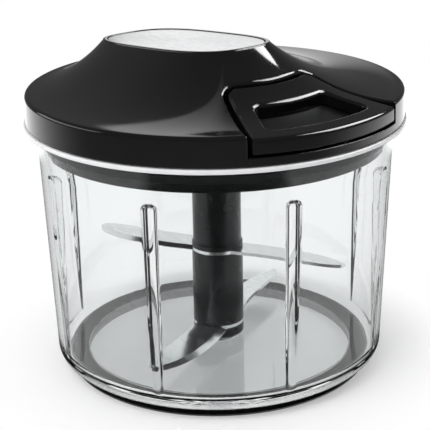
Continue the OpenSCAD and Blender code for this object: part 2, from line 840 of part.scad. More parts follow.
// Drive: carrier plate with two pawl posts, shaft in the bush and a hexagonal spigot below
module drive_hub() {
    spigot_z = stem_top_z - socket_depth + 0.8;
    shaft_z = stem_top_z + 0.7;
    color(satin_black) difference() {
        union() {
            translate([0, 0, carrier_z]) cylinder(r = carrier_r, h = carrier_t);
            translate([0, 0, shaft_z]) cylinder(r = shaft_r, h = carrier_z - shaft_z + eps);
            translate([0, 0, spigot_z]) cylinder(r = hex_r, h = shaft_z - spigot_z + eps, $fn = 6);
            for (a = pawl_turns) rotate(a + pawl_lead) translate([pawl_pivot_r, 0, carrier_z])
                cylinder(r = pawl_post_r, h = carrier_t + pawl_t);
        }
        translate([0, 0, axle_foot_z - turn_gap])
            cylinder(r = axle_r + run_gap, h = carrier_z + carrier_t + over - axle_foot_z);
    }
}

// A pawl reaches back from its post into a tooth gap of the ratchet ring
module drive_pawls() {
    reach_angle = 0.8;
    tip_r = ratchet_root_r - pawl_tip_gap;
    heel_r = ratchet_tip_r + turn_gap / 2;
    pivot = polar(pawl_pivot_r, pawl_lead);
    tip = polar(tip_r, reach_angle);
    heel = polar(heel_r - pawl_heel, reach_angle + 3);
    side = pawl_half_w * unit([-(pivot - tip)[1], (pivot - tip)[0]]);
    color(white_nylon) for (a = pawl_turns) {
        rotate(a) translate([0, 0, pawl_z]) linear_extrude(pawl_t) difference() {
            union() {
                translate(pivot) circle(pawl_ring_r);
                polygon([pivot - side, tip, polar(heel_r, reach_angle), heel, pivot + side]);
            }
            translate(pivot) circle(pawl_post_r + run_gap);
        }
    }
}

// Column: collar over the upper blade, core through both blades, hexagonal socket on top
module blade_stem() {
    edge = 0.6;
    color(satin_black) difference() {
        union() {
            rotate_extrude() polygon([
                [0, core_foot_z],
                [core_r, core_foot_z],
                [core_r, upper_blade_z + blade_t],
                [hub_r, upper_blade_z + blade_t],
                [hub_r, upper_blade_z + blade_t + collar_h - edge],
                [stem_r, upper_blade_z + blade_t + collar_h],
                [stem_r, stem_top_z - edge],
                [stem_r - edge, stem_top_z],
                [0, stem_top_z]
            ]);
        }
        translate([0, 0, stem_top_z - socket_depth])
            cylinder(r = hex_r + hex_gap, h = socket_depth + over, $fn = 6);
        translate([0, 0, core_foot_z - over])
            cylinder(r = pin_r + run_gap, h = pin_top_z + turn_gap - core_foot_z + over);
    }
}

// Cross-section of an arm at station q from 0 to 1, as points [along, across, up]
function arm_section(q, pitch) =
    let (
        r = arm_root_r + (blade_reach - arm_root_r) * q,
        turn = pitch * smooth((r - arm_flat_r) / (arm_twist_end_r - arm_flat_r)),
        half = max(arm_tip, blade_w / 2 * sqrt(1 - pow(q, 5))),
        middle = -arm_sweep * q * q,
        lead = middle + half,
        trail = middle - half,
        bevel = min(blade_bevel, half),
        outline = [
            [lead, 0],
            [lead, edge_land],
            [lead - bevel, blade_t],
            [trail, blade_t],
            [trail, 0]
        ]
    )
    [for (p = outline) let (u = p[1] - blade_t / 2)
        [r, p[0] * cos(turn) + u * sin(turn), u * cos(turn) - p[0] * sin(turn)]];

// A sabre arm along +X whose leading edge faces the turning direction
module blade_arm(pitch) {
    rings = [for (i = [0:arm_stations]) arm_section(1 - pow(1 - i / arm_stations, 1.3), pitch)];
    n = len(rings[0]);
    last = arm_stations;
    sides = [
        for (i = [0:last - 1], k = [0:n - 1])
            let (a = i * n + k, b = i * n + (k + 1) % n)
            each [[a, a + n, b + n], [a, b + n, b]]
    ];
    root = [[for (k = [0:n - 1]) k]];
    tip = [[for (k = [n - 1:-1:0]) last * n + k]];
    polyhedron([for (ring = rings) each ring], concat(root, sides, tip), convexity = 6);
}

module blade(z, turn, pitch) {
    color(bright_steel) translate([0, 0, z]) rotate(turn) union() {
        difference() {
            cylinder(r = hub_r, h = blade_t);
            translate([0, 0, -over]) cylinder(r = core_r + press_gap, h = blade_t + 2 * over);
        }
        for (a = [0, 180]) rotate(a) translate([0, 0, blade_t / 2]) blade_arm(pitch);
    }
}

module upper_blade() {
    blade(upper_blade_z, blade_turn, blade_pitch);
}

module lower_blade() {
    blade(lower_blade_z, blade_turn + 90, blade_pitch / 2);
}

module blade_spacer() {
    color(satin_black) translate([0, 0, lower_blade_z + blade_t]) difference() {
        cylinder(r = hub_r, h = upper_blade_z - lower_blade_z - blade_t);
        translate([0, 0, -over]) cylinder(r = core_r + press_gap, h = upper_blade_z);
    }
}

module blade_foot() {
    color(satin_black) difference() {
        translate([0, 0, tower_z]) cylinder(r = hub_r, h = lower_blade_z - tower_z);
        translate([0, 0, core_foot_z]) cylinder(r = core_r + press_gap, h = lower_blade_z);
        translate([0, 0, tower_z - over]) cylinder(r = pin_r + run_gap, h = lower_blade_z);
    }
}

bowl();
bowl_pin();
foot_ring();
lid_cover();
top_plate();
lid_base();
lid_seal();
lid_screws();
reel_axle();
drive_bush();
cord_eyelet();
cord_feed();
pull_handle();
cord_lead();
cord_knot();
knot_cover();
cord_reel();
spring_cover();
mainspring();
wound_cord();
drive_hub();
drive_pawls();
blade_stem();
upper_blade();
blade_spacer();
lower_blade();
blade_foot();
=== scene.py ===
import math

import bpy
from mathutils import Matrix, Vector


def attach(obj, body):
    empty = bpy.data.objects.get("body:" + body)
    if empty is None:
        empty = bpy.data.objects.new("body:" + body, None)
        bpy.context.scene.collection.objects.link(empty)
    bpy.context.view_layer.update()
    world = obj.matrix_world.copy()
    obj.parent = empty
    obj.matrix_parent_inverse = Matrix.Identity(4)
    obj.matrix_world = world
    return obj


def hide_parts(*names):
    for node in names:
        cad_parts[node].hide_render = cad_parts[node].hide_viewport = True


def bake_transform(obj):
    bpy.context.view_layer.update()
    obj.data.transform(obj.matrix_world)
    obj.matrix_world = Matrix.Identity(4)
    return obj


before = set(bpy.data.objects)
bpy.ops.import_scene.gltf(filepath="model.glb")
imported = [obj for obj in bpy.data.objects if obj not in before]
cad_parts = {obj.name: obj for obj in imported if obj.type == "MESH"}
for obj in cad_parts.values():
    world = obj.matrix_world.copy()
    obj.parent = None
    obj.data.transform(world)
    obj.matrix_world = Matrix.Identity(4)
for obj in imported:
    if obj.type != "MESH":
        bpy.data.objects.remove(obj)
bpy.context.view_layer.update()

MM = 0.001

# Meshes: points nearer than this are one, and slivers thinner than this go
MERGE_GAP = 0.002
SLIVER = 0.001
# Edges turned further than this stay sharp, in degrees
SHARP_ANGLE = 35
BLADE_SHARP_ANGLE = 15

# Edges and fits that several pieces share
ROUND_EDGE = 0.6
SMALL_EDGE = 0.3
# A rolled edge's middle point lies this share of its radius in from the corner
EDGE_MIDDLE = 0.3
FIT = 0.02
PIN_BORE_R = 3.05

# Bowl
BOWL_H = 96.5
FOOT_H = 3.4
FLOOR_Z = 7.0
UNDER_Z = 4.6
UNDER_EDGE = 0.4
BOWL_TOP_R = 66.5
BOWL_LOW_R = 63.0
BOWL_WALL = 2.4
BOWL_CORNER_R = 5.0
INNER_CORNER_R = 4.0
RIM_R = 71.0
RIM_T = 1.7
RIM_FILLET = 1.2
RIM_EDGE = 0.5
RIM_CLEAR_SHARE = 0.4
RIB_COUNT = 8
RIB_R = 2.6
RIB_TOP_Z = 81.5
RIB_PROUD = 3.4
RIB_TURN = -102.6
RIB_BLEND = 0.7
RIB_FLANK = 3
RIB_MIN_R = 50
# Points: columns over half a rib and their step in degrees, columns between two ribs, rows up the
# outside, and rings on the flat faces
RIB_COLS = 13
RIB_COL_STEP = 0.3
WALL_COLS = 14
WALL_ROWS = 8
FLOOR_RINGS = (50, 40, 30, 20, 12)
UNDER_RINGS = (0, 20)
SEAT_RING = 4
BOSS_R = 6.5
BOSS_TOP_Z = 8.5
BOSS_FILLET = 0.8
BOSS_EDGE = 0.4
FOOT_LOW_R = 58.0
FOOT_TOP_R = 59.7
FOOT_IN_R = 51.5

# Lid
LID_R = 70.2
COVER_Z = 96.8
BRIM_Z = 107.5
BRIM_EDGE_R = 1.3
SKIRT_DRAFT = 0.2
LID_WALL = 2.2
PLAT_Z = 121.5
PLAT_A = 40.3
PLAT_B = 19.8
PLAT_S = -19.0
PLAT_TILT = 0.09
PLAT_POWER = 3.0
FLARE_POWER = 2.25
PLAT_EDGE = 0.5
# How fast the platform's rolled edge and the thicker roof under it run out down the dome
PLAT_EDGE_POWER = 3
ROOF_POWER = 4
PLATE_RIM = 1.8
PLATE_T = 1.0
PLATE_SINK = 0.25
POCKET_GAP = 0.15
POCKET_EDGE = 0.3
PLUG_R = 62.2
PLUG_IN_R = 60.0
PLUG_Z = 86.0
PLUG_FLOOR_Z = 88.4
BUSH_BORE_R = 8.02
BUSH_WALL_R = 11.5
BUSH_TOP_Z = 93.0
SCREW_CIRCLE_R = 50.0
SCREW_HOLE_R = 1.9
SCREW_HOLE_TOP_Z = 95.0
WELL_R = 3.4
WELL_LOW_Z = 85.0
WELL_TOP_Z = 88.2
WELL_SEAT_W = 0.2
WELL_SEAT_H = 0.01
FLANGE_R = 67.8
FLANGE_TOP_Z = 98.0
SEAL_Z = 89.6
SEAL_H = 3.0
SEAL_GAP = 0.3
GROOVE_D = 1.2
# Points of the dome and of the room in it: columns, rows that crowd towards the platform, and rings
# on the flat faces
DOME_COLS = 168
DOME_ROWS = 30
ROOM_COLS = 96
ROOM_ROWS = 12
ROW_POWER = 1.4
MIDDLE_INSET = 19.7
HALF_INSET = 10.3
PLATE_RINGS = (6.0, 12.0)
UNDER_RING_R = 40
PLUG_RING_R = 30
# Where cutters end, clear of the lid
CUT_TOP_Z = PLAT_Z + 20
CUT_LOW_Z = COVER_Z - 1
CUT_R = LID_R + 20
PLAN_END = LID_R + 12
# Where the dome's height is read nearest its brim
DOME_END_R = LID_R - BRIM_EDGE_R - 0.1

# Handle and recess
HANDLE_BACK_R = 36.2
HANDLE_AXIS_W = 5.3
HANDLE_SPREAD = 0.42
HANDLE_CORNER_R = 4.0
HANDLE_SIDE_STEPS = range(42, 72, 3)
HANDLE_GAP = 1.8
HANDLE_LIFT = 0.4
HANDLE_ROLL = 0.7
HANDLE_FALL = 1.2
HANDLE_FALL_W = 0.7
HANDLE_FALL_POWER = 1.8
LEDGE_GAP = 1.2
RECESS_WALL = 1.6
RECESS_ROLL = 0.8
WINDOW_ROLL = 1.2
WINDOW_BACK_R = 46.0
WINDOW_FRONT_R = 63.5
WINDOW_CORNER_R = 3.0
SIDE_BAR = 7.0
SHELF_Z = 106.7
SHELF_END_R = 42.0
RAMP_Z = 102.0
RAMP_END_R = WINDOW_FRONT_R - 1.5
RAMP_FALL = (SHELF_Z - RAMP_Z) / (RAMP_END_R - SHELF_END_R)
RAMP_RING = 2
LEDGE_Z = 99.8
CORD_Z = 109.45
CORD_R = 0.8
CORD_HOLE_R = 1.15
CORD_HOLE_S = HANDLE_BACK_R - 1
KNOT_S = 39.2
KNOT_ROOM_R = 2.0
KNOT_ROOM_TOP_Z = CORD_Z + 1.6
KNOT_TUCK = 1.2
EYELET_S = 35.2
EYELET_HOLE_R = 1.92
EYELET_HOLE_L = 6
EYELET_TUCK = 0.4
SPREAD = math.atan(HANDLE_SPREAD)

# Blade tower
STEM_R = 9.3
HUB_R = 9.8
CORE_R = 6.0
CORE_Z = 10.5
HUB_BORE_R = CORE_R + FIT
SOCKET_R = 5.35
SOCKET_L = 14
STEM_TOP_Z = 84.7
TOWER_Z = 8.9
LOWER_BLADE_Z = 13.0
UPPER_BLADE_Z = 43.5
COLLAR_H = 2.4
BLADE_T = 1.2
BLADE_W = 12.5
BLADE_REACH = 52.0
LOWER_PITCH = 8.0
# The upper blade lies nearly flat and mirrors the light behind it
UPPER_PITCH = 1.0
BLADE_BEVEL = 2.4
BLADE_TURN = 124.0
ARM_ROOT_R = 7.6
ARM_FLAT_R = 10.6
ARM_TWIST_END_R = 20.0
ARM_SWEEP = 7.0
ARM_TIP_HALF = 0.4
ARM_TIP_POWER = 5
ARM_STATIONS = 40
# Stations crowd towards the tip by this power
STATION_POWER = 1.3
EDGE_LAND = 0.25

# Camera, fitted to the photograph, with its roll in degrees and its lens and sensor in millimetres
CAMERA_PLACE = (-0.2958, -0.3972, 0.2316)
CAMERA_AIM = (0.5619, 0.7567, -0.3341)
CAMERA_ROLL = -1.1536
CAMERA_LENS = 114.58
SENSOR_W = 36

# Stage: directions in degrees from +X, levels of light, and the floor's shadow, which is even up to
# one distance from the axis, with a share of plain white in it, and gone at another
GAP_AZIMUTH = 52.5
TABLE_AZIMUTH = 43.0
DIM = 0.14
WORLD_LIGHT = 0.6
SHADOW_R = 0.058
SHADOW_END_R = 0.1
SHADOW_GLOW = 0.3
FLOOR_SIZE = 6
WALLS_R = 2.5
WHITE = "#ffffff"


# Colours are written as sRGB hex
def colour(text):
    values = [int(text[i : i + 2], 16) / 255 for i in (1, 3, 5)]
    linear = [v / 12.92 if v <= 0.04045 else ((v + 0.055) / 1.055) ** 2.4 for v in values]
    return (*linear, 1.0)


# Adds a node with its settings, its input values, the links into it and the stops of a ramp
def add(tree, kind, links=None, values=None, stops=(), **settings):
    made = tree.nodes.new(kind)
    for key, value in settings.items():
        setattr(made, key, value)
    for key, value in (values or {}).items():
        made.inputs[key].default_value = value
    for key, source in (links or {}).items():
        tree.links.new(source, made.inputs[key])
    for index, (place, value) in enumerate(stops):
        made.color_ramp.elements[index].position = place
        made.color_ramp.elements[index].color = value
    return made


def new_material(name):
    material = bpy.data.materials.new(name)
    material.use_nodes = True
    material.node_tree.nodes.clear()
    return material, material.node_tree


# A pattern's scale along each axis, where less than 1 draws it out
EVEN = (1, 1, 1)
BRUSHED = (1, 0.012, 1)
GROUND = (1, 0.05, 1)
LATHE_RINGS = (0.1, 0.1, 1)
STRANDS = (1, 0.4, 1)

# The part of a cloudy pattern's range that nearly all of it falls in
CLOUD_LOW = 0.3
CLOUD_HIGH = 0.7

BEVEL_SAMPLES = 6


# A finish from cloudy patterns: each has a cell in millimetres, a stretch and two ends to run between.
# Relief has a strength and a depth instead of ends, and bevel softens the edges of a piece with relief.
def finish(name, values, shade=None, rough=None, relief=None, bevel=0):
    material, tree = new_material(name)
    coords = add(tree, "ShaderNodeTexCoord")
    clouds = {}
    for use, pattern in {"shade": shade, "rough": rough, "relief": relief}.items():
        if pattern:
            stretched = add(
                tree,
                "ShaderNodeMapping",
                links={"Vector": coords.outputs["Object"]},
                values={"Scale": pattern[1]},
            )
            clouds[use] = add(
                tree,
                "ShaderNodeTexNoise",
                links={"Vector": stretched.outputs["Vector"]},
                values={"Scale": 1 / (pattern[0] * MM)},
            ).outputs["Fac"]
    links = {}
    if shade:
        tones = [(CLOUD_LOW, colour(shade[2])), (CLOUD_HIGH, colour(shade[3]))]
        toned = add(tree, "ShaderNodeValToRGB", links={"Fac": clouds["shade"]}, stops=tones)
        links["Base Color"] = toned.outputs["Color"]
    if rough:
        polish = add(
            tree,
            "ShaderNodeMapRange",
            links={"Value": clouds["rough"]},
            values={
                "From Min": CLOUD_LOW,
                "From Max": CLOUD_HIGH,
                "To Min": rough[2],
                "To Max": rough[3],
            },
        )
        links["Roughness"] = polish.outputs["Result"]
    if relief:
        bump = add(
            tree,
            "ShaderNodeBump",
            links={"Height": clouds["relief"]},
            values={"Strength": relief[2], "Distance": relief[3] * MM},
        )
        links["Normal"] = bump.outputs["Normal"]
        if bevel:
            edge = add(tree, "ShaderNodeBevel", values={"Radius": bevel * MM}, samples=BEVEL_SAMPLES)
            tree.links.new(edge.outputs["Normal"], bump.inputs["Normal"])
    shader = add(tree, "ShaderNodeBsdfPrincipled", links=links, values=values)
    add(tree, "ShaderNodeOutputMaterial", links={"Surface": shader.outputs["BSDF"]})
    return material


# Gloss ABS, injection moulded in a polished tool: a deep black with a faint ripple in its reflections
COVER_ABS = finish(
    "gloss_abs_cover",
    {"IOR": 1.5},
    shade=(30, EVEN, "#0b0b0c", "#101011"),
    rough=(9, EVEN, 0.05, 0.1),
    relief=(5, EVEN, 0.05, 0.05),
    bevel=0.45,
)
# Satin ABS, moulded in a spark-eroded tool: fine grain, drawn at 0.35 mm so that it shows
PLUG_ABS = finish(
    "satin_abs_plug",
    {"IOR": 1.5, "Specular IOR Level": 0.45},
    shade=(8, EVEN, "#0e0f11", "#141517"),
    rough=(4, EVEN, 0.2, 0.28),
    relief=(0.35, EVEN, 0.1, 0.04),
)
# The same ABS with a coarser spark-eroded grain, which keeps the recess floor an even dark grey
RECESS_ABS = finish(
    "grained_abs_recess",
    {"IOR": 1.5, "Specular IOR Level": 0.12},
    shade=(8, EVEN, "#0e0f11", "#131416"),
    rough=(4, EVEN, 0.5, 0.6),
    relief=(0.5, EVEN, 0.15, 0.05),
)
# Clear SAN, injection moulded and polished: colourless, with a slow waviness in the wall
BOWL_SAN = finish(
    "clear_san_bowl",
    {"Base Color": colour("#fbfdfd"), "IOR": 1.5, "Transmission Weight": 1.0},
    rough=(12, EVEN, 0.0, 0.012),
    relief=(14, EVEN, 0.05, 0.2),
)
# The same SAN with a frosted moulded edge, coloured nearly opaque white: painted light for the light of
# the wall that the rim gathers and shows white
PAINTED_LIGHT_RIM_SAN = finish(
    "frosted_san_rim_painted_light",
    {"IOR": 1.5, "Transmission Weight": 0.2},
    shade=(6, EVEN, "#f6f7f9", "#ffffff"),
    rough=(3, EVEN, 0.3, 0.4),
)
# Stainless sheet, brushed along its length: lines about 0.12 mm apart, drawn at 0.3 mm to show
PLATE_STEEL = finish(
    "brushed_stainless_plate",
    {"Metallic": 1.0, "Anisotropic": 0.5},
    shade=(0.3, BRUSHED, "#c9cacc", "#f3f4f5"),
    rough=(0.6, BRUSHED, 0.14, 0.24),
    relief=(0.3, BRUSHED, 0.16, 0.02),
)
# Polished stainless, as on blades, pins and springs: bright, with faint grinding marks 0.4 mm apart
BLADE_STEEL = finish(
    "polished_stainless",
    {"Metallic": 1.0},
    shade=(0.4, GROUND, "#d6d8da", "#eeefef"),
    rough=(0.8, GROUND, 0.12, 0.18),
)
# Turned brass: warm, with fine lathe rings 0.3 mm apart
BRASS = finish(
    "turned_brass",
    {"Metallic": 1.0, "Roughness": 0.3},
    shade=(0.3, LATHE_RINGS, "#b08a45", "#d0ac62"),
)
# Soft moulded rubber: dull black with a fine grain of 0.5 mm
RUBBER = finish(
    "soft_rubber",
    {"Roughness": 0.55, "IOR": 1.5},
    shade=(6, EVEN, "#08080a", "#0e0e10"),
    relief=(0.5, EVEN, 0.2, 0.05),
)
# Natural nylon, moulded: a creamy white that lets a little light in
NYLON = finish(
    "natural_nylon",
    {"Roughness": 0.42, "IOR": 1.53, "Subsurface Weight": 0.1, "Subsurface Scale": 1.0 * MM},
    shade=(5, EVEN, "#e2dfd3", "#efece2"),
)
# Braided polyester cord: off-white strands 0.5 mm wide, drawn as short flecks along the cord
CORD = finish(
    "braided_polyester_cord",
    {"Roughness": 0.7},
    shade=(0.5, STRANDS, "#bdbcb6", "#e9e8e3"),
    relief=(0.5, STRANDS, 0.5, 0.1),
)


# A grid primitive whose points are put in place one by one: i runs round the piece, j along it
def formed(name, cols, rows, place):
    bpy.ops.object.select_all(action="DESELECT")
    bpy.ops.mesh.primitive_grid_add(x_subdivisions=cols, y_subdivisions=rows, size=1)
    piece = bpy.context.object
    piece.name = name
    piece.data.name = name
    for vertex in piece.data.vertices:
        i = round((vertex.co.x + 0.5) * cols)
        j = round((vertex.co.y + 0.5) * rows)
        vertex.co = Vector(place(i, j)) * MM
    bpy.ops.object.mode_set(mode="EDIT")
    bpy.ops.mesh.select_all(action="SELECT")
    bpy.ops.mesh.remove_doubles(threshold=MERGE_GAP * MM)
    bpy.ops.mesh.dissolve_degenerate(threshold=SLIVER * MM)
    bpy.ops.mesh.select_all(action="SELECT")
    bpy.ops.mesh.normals_make_consistent(inside=False)
    bpy.ops.object.mode_set(mode="OBJECT")
    return piece


def arc(cx, cy, r, a0, a1, n):
    angles = [math.radians(a0 + (a1 - a0) * i / n) for i in range(n + 1)]
    return [(cx + r * math.cos(a), cy + r * math.sin(a)) for a in angles]


# A turned piece from its outline of radius and height
def turned(name, outline, cols=128, at=(0, 0)):
    def place(i, j):
        r, z = outline[j]
        a = 2 * math.pi * i / cols
        return at[0] + r * math.cos(a), at[1] + r * math.sin(a), z

    return formed(name, cols, len(outline) - 1, place)


# A rod along the pull, from distance s0 to s1
def rod(name, r, s0, s1, cols=24):
    outline = [(0, s0), (r, s0), (r, s1), (0, s1)]

    def place(i, j):
        radius, s = outline[j]
        a = 2 * math.pi * i / cols
        return radius * math.cos(a), -s, CORD_Z + radius * math.sin(a)

    return formed(name, cols, len(outline) - 1, place)


# An upright prism over a plan of points [x, distance towards the handle]
def prism(name, plan, z0, z1):
    middle = (0, sum(p[1] for p in plan) / len(plan))

    def place(i, j):
        x, s = plan[i % len(plan)] if j in (1, 2) else middle
        return x, -s, z0 if j < 2 else z1

    return formed(name, len(plan), 3, place)


def cut(piece, tool, how="DIFFERENCE"):
    change = piece.modifiers.new(how.lower(), "BOOLEAN")
    change.operation = how
    change.object = tool
    change.solver = "EXACT"
    bpy.context.view_layer.objects.active = piece
    bpy.ops.object.modifier_apply(modifier=change.name)
    bpy.data.objects.remove(tool)


# Smooth shading, a material, and its place in the model
def dress(piece, material, body, nodes, angle=SHARP_ANGLE, weighted=True):
    bpy.ops.object.select_all(action="DESELECT")
    piece.select_set(True)
    bpy.context.view_layer.objects.active = piece
    bpy.ops.object.shade_smooth_by_angle(angle=math.radians(angle))
    if weighted:
        normals = piece.modifiers.new("weighted", "WEIGHTED_NORMAL")
        normals.keep_sharp = True
        bpy.ops.object.modifier_apply(modifier=normals.name)
    piece.data.materials.clear()
    piece.data.materials.append(material)
    if body:
        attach(piece, body)
    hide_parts(*nodes)
    return piece


# Inner radius of the bowl's tapered wall
def bowl_inner_r(z):
    low, high = BOWL_LOW_R - BOWL_WALL, BOWL_TOP_R - BOWL_WALL
    start = FLOOR_Z + INNER_CORNER_R
    return low + (high - low) * (z - start) / (BOWL_H - start)


def smooth_min(a, b, k):
    h = max(k - abs(a - b), 0) / k
    return min(a, b) - h * h * k / 4


# Radius of the bowl's inside where a rib stands, blended into the wall
def ribbed_r(r, z, offset_deg):
    axis_r = bowl_inner_r(RIB_TOP_Z) - RIB_PROUD + RIB_R
    above = max(0.0, z - (RIB_TOP_Z - RIB_R))
    if above >= RIB_R:
        return r
    section = math.sqrt(RIB_R * RIB_R - above * above)
    side = abs(axis_r * math.sin(math.radians(offset_deg)))
    if side >= section + RIB_BLEND:
        return r
    if side < section:
        face = axis_r - math.sqrt(section * section - side * side)
    else:
        face = axis_r + (side - section) * RIB_FLANK
    return smooth_min(r, face, RIB_BLEND)


# Clear bowl: one turned skin whose inside swells into the ribs
def make_bowl():
    step = 360 / RIB_COUNT
    near = [RIB_COL_STEP * k for k in range(-RIB_COLS, RIB_COLS + 1)]
    spare = step - 2 * near[-1]
    far = [near[-1] + spare * k / WALL_COLS for k in range(1, WALL_COLS)]
    offsets = near + far
    cols = RIB_COUNT * len(offsets)
    wall_z = FOOT_H + BOWL_CORNER_R
    wall_h = BOWL_H - RIM_T - RIM_FILLET - wall_z
    spread = BOWL_TOP_R - BOWL_LOW_R
    shares = [k / WALL_ROWS for k in range(1, WALL_ROWS)]
    outside = (
        [(r, UNDER_Z) for r in (*UNDER_RINGS, FOOT_IN_R - UNDER_EDGE)]
        + arc(FOOT_IN_R, FOOT_H + UNDER_EDGE, UNDER_EDGE, 180, 270, 3)
        + [(FOOT_IN_R + SEAT_RING, FOOT_H)]
        + arc(BOWL_LOW_R - BOWL_CORNER_R, wall_z, BOWL_CORNER_R, -90, 0, 10)
        + [(BOWL_LOW_R + spread * share, wall_z + wall_h * share) for share in shares]
        + arc(BOWL_TOP_R + RIM_FILLET, BOWL_H - RIM_T - RIM_FILLET, RIM_FILLET, 180, 90, 5)
        + arc(RIM_R - RIM_EDGE, BOWL_H - RIM_T + RIM_EDGE, RIM_EDGE, -90, 0, 4)
        + arc(RIM_R - RIM_EDGE, BOWL_H - RIM_EDGE, RIM_EDGE, 0, 90, 4)
    )
    top_r = BOWL_TOP_R - BOWL_WALL
    corner_r = BOWL_LOW_R - BOWL_WALL - INNER_CORNER_R
    # Rows down the inside lie closest where the ribs' tops round off
    heights = [92 - k for k in range(10)]
    heights += [82 - 0.35 * k for k in range(12)]
    heights += [77.5 - 4.5 * k for k in range(15)]
    inside = (
        arc(top_r + RIM_EDGE, BOWL_H - RIM_EDGE, RIM_EDGE, 90, 180, 4)
        + [(bowl_inner_r(z), z) for z in heights]
        + arc(corner_r, FLOOR_Z + INNER_CORNER_R, INNER_CORNER_R, 0, -90, 10)
        + [(r, FLOOR_Z) for r in FLOOR_RINGS]
        + arc(BOSS_R + BOSS_FILLET, FLOOR_Z + BOSS_FILLET, BOSS_FILLET, -90, -180, 4)
        + arc(BOSS_R - BOSS_EDGE, BOSS_TOP_Z - BOSS_EDGE, BOSS_EDGE, 0, 90, 3)
        + [(PIN_BORE_R, BOSS_TOP_Z), (0, BOSS_TOP_Z)]
    )
    outline = outside + inside
    first_inside = len(outside)

    def place(i, j):
        r, z = outline[j]
        turn, k = divmod(i, len(offsets))
        offset = offsets[k]
        if j >= first_inside and r > RIB_MIN_R:
            r = ribbed_r(r, z, (offset + step / 2) % step - step / 2)
        a = math.radians(RIB_TURN + step * turn + offset)
        return r * math.cos(a), r * math.sin(a), z

    return formed("clear_bowl", cols, len(outline) - 1, place)


# Gives the rim flange its frosted finish and its painted white light, from a little way out of the wall
def frost_rim_and_paint_light(bowl):
    bowl.data.materials.append(PAINTED_LIGHT_RIM_SAN)
    low_z = BOWL_H - RIM_T - RIM_FILLET
    inner_r = BOWL_TOP_R + RIM_CLEAR_SHARE * RIM_FILLET
    for face in bowl.data.polygons:
        r = math.hypot(face.center.x, face.center.y) / MM
        if face.center.z / MM > low_z and r > inner_r:
            face.material_index = 1


def make_foot_ring():
    outline = (
        arc(FOOT_IN_R + ROUND_EDGE, ROUND_EDGE, ROUND_EDGE, 180, 270, 4)
        + arc(FOOT_LOW_R - ROUND_EDGE, ROUND_EDGE, ROUND_EDGE, 270, 345, 4)
        + [(FOOT_TOP_R, FOOT_H), (FOOT_IN_R, FOOT_H), (FOOT_IN_R, ROUND_EDGE)]
    )
    return turned("rubber_foot_ring", outline)


def signed_power(v, p):
    return math.copysign(abs(v) ** p, v)


# A point of the platform's outline, as x and distance towards the handle
def platform_point(t, a, b):
    power = 2 / PLAT_POWER
    return b * signed_power(math.sin(t), power), PLAT_S + a * signed_power(math.cos(t), power)


def platform_z(s):
    return PLAT_Z + PLAT_TILT * (s - PLAT_S)


# A point of the dome: w runs from 0 at the platform to 1 at the brim
def dome_point(w, t, inset, drop):
    px, ps = platform_point(t, PLAT_A - inset, PLAT_B - inset)
    r = LID_R - BRIM_EDGE_R - inset
    x = px + (r * math.sin(t) - px) * w
    s = ps + (r * math.cos(t) - ps) * w
    return x, -s, BRIM_Z - drop + (platform_z(ps) - BRIM_Z) * (1 - w) ** FLARE_POWER


def level_point(r, z, t):
    return r * math.sin(t), -r * math.cos(t), z


# The lid's outer form as a closed solid, with the plate's pocket or with a brim that falls lower
def dome_solid(name, pocket, fall=0):
    # Insets and drops across the platform, from its middle out over its rolled edge
    if pocket:
        depth = PLATE_T + PLATE_SINK
        wall = PLATE_RIM - POCKET_GAP
        foot = wall + POCKET_EDGE
        roll = EDGE_MIDDLE * POCKET_EDGE
        across = [(inset, depth) for inset in (MIDDLE_INSET, (MIDDLE_INSET + foot) / 2, foot, wall)]
        across += [(wall, POCKET_EDGE), (wall - roll, roll), (wall - POCKET_EDGE, 0)]
    else:
        across = [(MIDDLE_INSET, 0), (HALF_INSET, 0)]
    for a in (90, 67, 45, 22, 0):
        inset = PLAT_EDGE - PLAT_EDGE * math.cos(math.radians(a))
        across.append((inset, PLAT_EDGE - PLAT_EDGE * math.sin(math.radians(a))))
    rings = [lambda t, inset=inset, drop=drop: dome_point(0, t, inset, drop) for inset, drop in across]
    for k in range(1, DOME_ROWS + 1):
        w = (k / DOME_ROWS) ** ROW_POWER
        past = max(0, (w - HANDLE_FALL_W) / (1 - HANDLE_FALL_W))
        drop = PLAT_EDGE * (1 - w) ** PLAT_EDGE_POWER + fall * past**HANDLE_FALL_POWER
        rings.append(lambda t, w=w, drop=drop: dome_point(w, t, 0, drop))
    skirt_r = LID_R + SKIRT_DRAFT
    levels = []
    for a in (72, 54, 36, 18, 0):
        r = LID_R - BRIM_EDGE_R + BRIM_EDGE_R * math.cos(math.radians(a))
        levels.append((r, BRIM_Z - fall - BRIM_EDGE_R + BRIM_EDGE_R * math.sin(math.radians(a))))
    levels += [(skirt_r, COVER_Z + SMALL_EDGE), (skirt_r - SMALL_EDGE, COVER_Z)]
    levels += [(UNDER_RING_R, COVER_Z), (0, COVER_Z)]
    rings += [lambda t, r=r, z=z: level_point(r, z, t) for r, z in levels]
    first = rings[0]
    middle = [sum(v) / 2 for v in zip(first(0), first(math.pi))]

    def place(i, j):
        if j == 0:
            return middle
        return rings[j - 1](2 * math.pi * (i % DOME_COLS) / DOME_COLS)

    return formed(name, DOME_COLS, len(rings), place)


